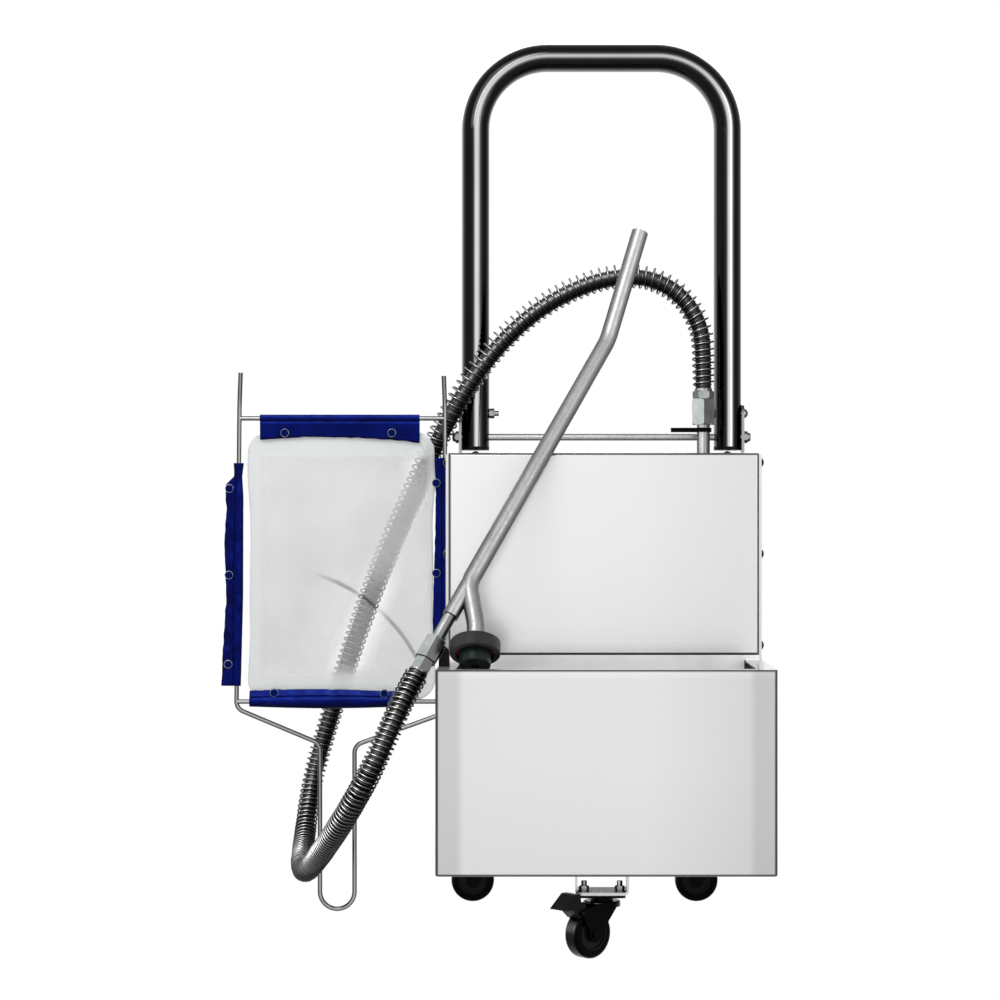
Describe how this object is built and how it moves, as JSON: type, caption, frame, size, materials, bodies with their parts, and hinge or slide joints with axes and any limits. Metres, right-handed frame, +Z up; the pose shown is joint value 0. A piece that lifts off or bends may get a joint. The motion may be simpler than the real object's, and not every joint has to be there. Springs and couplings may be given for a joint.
{
  "type": "fryer oil filter cart",
  "caption": "Portable fryer oil filter cart: steel tank on casters with pump housing, tubular handle, spring-guarded return hose, bent wand and a wire-framed mesh filter",
  "frame": {"origin": "on the floor under the middle of the bounding box of everything but the hose", "axes": "+Z up, +Y from the tank's open front to the handle, +X to the right seen from the front"},
  "size_m": [0.606, 0.475, 0.998],
  "materials": {
    "stainless_panel": "satin bright stainless sheet",
    "handle_chrome": "polished tube",
    "wand_steel": "satin steel tube",
    "zinc_fitting": "bright zinc fittings and screws",
    "black_plastic": "black moulded plastic",
    "black_steel": "glossy black",
    "black_tyre": "black solid tread",
    "spring_steel": "bright wire spring",
    "hose_rubber": "dark hose",
    "blue_vinyl": "royal blue vinyl sleeve",
    "white_mesh": "fine translucent white mesh",
    "frame_wire": "bright wire",
    "red_seal": "dark red seal",
    "dark_core": "dark green-black valve",
    "motor_grey": "grey casting",
    "machined_steel": "machined"
  },
  "bodies": {
    "cart": {"tank": "stainless_panel", "deck_plate": "stainless_panel", "pump_housing": "stainless_panel", "rear_panel": "stainless_panel", "side_panels": "stainless_panel", "panel_screws": "zinc_fitting", "power_inlet": "black_plastic", "handle_tube": "handle_chrome", "handle_plugs": "black_plastic", "handle_brackets": "handle_chrome", "cross_rod": "zinc_fitting", "cap_nuts": "zinc_fitting", "handle_bolts": "zinc_fitting", "handle_nuts": "zinc_fitting", "motor_casing": "motor_grey", "pump_body": "motor_grey", "suction_pipe": "machined_steel", "outlet_pipe": "zinc_fitting", "outlet_union_nut": "zinc_fitting", "outlet_hose_ferrule": "zinc_fitting", "return_hose": "hose_rubber", "hose_spring_guard": "spring_steel", "wand_tube": "wand_steel", "wand_inlet_sleeve": "wand_steel", "wand_nipple": "zinc_fitting", "wand_union_nut": "zinc_fitting", "wand_hose_ferrule": "zinc_fitting", "wand_bell": "black_plastic", "bell_seal": "red_seal", "bell_core": "dark_core", "wand_rest": "black_plastic", "caster_brackets": "black_steel", "caster_plates": "black_steel", "caster_bolts": "zinc_fitting"},
    "filter_frame": {"filter_frame_wire": "frame_wire", "frame_cross_wires": "frame_wire", "filter_bag": "white_mesh", "bag_sleeve_top": "blue_vinyl", "bag_sleeve_bottom": "blue_vinyl", "bag_sleeve_left": "blue_vinyl", "bag_sleeve_right": "blue_vinyl", "bag_snaps": "zinc_fitting"},
    "brake_pedal": {"brake_pedal": "black_plastic"},
    "valve_lever": {"valve_lever": "zinc_fitting"},
    "motor_rotor": {"motor_rotor": "machined_steel", "drive_gear": "machined_steel"},
    "driven_gear": {"driven_gear": "machined_steel"},
    "power_switch": {"power_switch": "black_plastic"},
    "fork_front": {"caster_fork_front": "black_steel", "caster_axle_front": "zinc_fitting"},
    "wheel_front": {"caster_hub_front": "black_plastic", "caster_tyre_front": "black_tyre"},
    "fork_rear_left": {"caster_fork_rear_left": "black_steel", "caster_axle_rear_left": "zinc_fitting"},
    "wheel_rear_left": {"caster_hub_rear_left": "black_plastic", "caster_tyre_rear_left": "black_tyre"},
    "fork_rear_right": {"caster_fork_rear_right": "black_steel", "caster_axle_rear_right": "zinc_fitting"},
    "wheel_rear_right": {"caster_hub_rear_right": "black_plastic", "caster_tyre_rear_right": "black_tyre"}
  },
  "joints": [
    {"name": "swivel_front", "type": "hinge", "parent": "cart", "child": "fork_front", "pos_m": [0.12477, -0.1875, 0.0569], "axis": [0, 0, 1], "continuous": true},
    {"name": "roll_front", "type": "hinge", "parent": "fork_front", "child": "wheel_front", "pos_m": [0.11037, -0.20065, 0.025], "axis": [0.6743, -0.7385, 0], "continuous": true},
    {"name": "swivel_rear_left", "type": "hinge", "parent": "cart", "child": "fork_rear_left", "pos_m": [-0.00223, 0.1965, 0.0569], "axis": [0, 0, 1], "continuous": true},
    {"name": "roll_rear_left", "type": "hinge", "parent": "fork_rear_left", "child": "wheel_rear_left", "pos_m": [-0.02173, 0.1965, 0.025], "axis": [0, -1, 0], "continuous": true},
    {"name": "swivel_rear_right", "type": "hinge", "parent": "cart", "child": "fork_rear_right", "pos_m": [0.25977, 0.1965, 0.0569], "axis": [0, 0, 1], "continuous": true},
    {"name": "roll_rear_right", "type": "hinge", "parent": "fork_rear_right", "child": "wheel_rear_right", "pos_m": [0.24027, 0.1965, 0.025], "axis": [0, -1, 0], "continuous": true},
    {"name": "brake_press", "type": "hinge", "parent": "fork_front", "child": "brake_pedal", "pos_m": [0.09781, -0.21211, 0.048], "axis": [0.6743, -0.7385, 0], "range_deg": [0, 12]},
    {"name": "valve_turn", "type": "hinge", "parent": "cart", "child": "valve_lever", "pos_m": [0.24537, 0.1325, 0.547], "axis": [0, 0, 1], "range_deg": [0, 90]},
    {"name": "rotor_spin", "type": "hinge", "parent": "cart", "child": "motor_rotor", "pos_m": [0.24537, 0.1175, 0.3744], "axis": [1, 0, 0], "continuous": true},
    {"name": "driven_gear_spin", "type": "hinge", "parent": "cart", "child": "driven_gear", "pos_m": [0.24537, 0.1475, 0.3744], "axis": [1, 0, 0], "continuous": true},
    {"name": "switch_rock", "type": "hinge", "parent": "cart", "child": "power_switch", "pos_m": [0.03377, 0.2335, 0.362], "axis": [1, 0, 0], "range_deg": [-9, 9]},
    {"name": "frame_lift", "type": "slide", "parent": "cart", "child": "filter_frame", "axis": [0, 0, 1], "range_m": [0, 0.35]}
  ],
  "couplings": [
    {"joint": "driven_gear_spin", "follows": "rotor_spin", "ratio": -1}
  ]
}
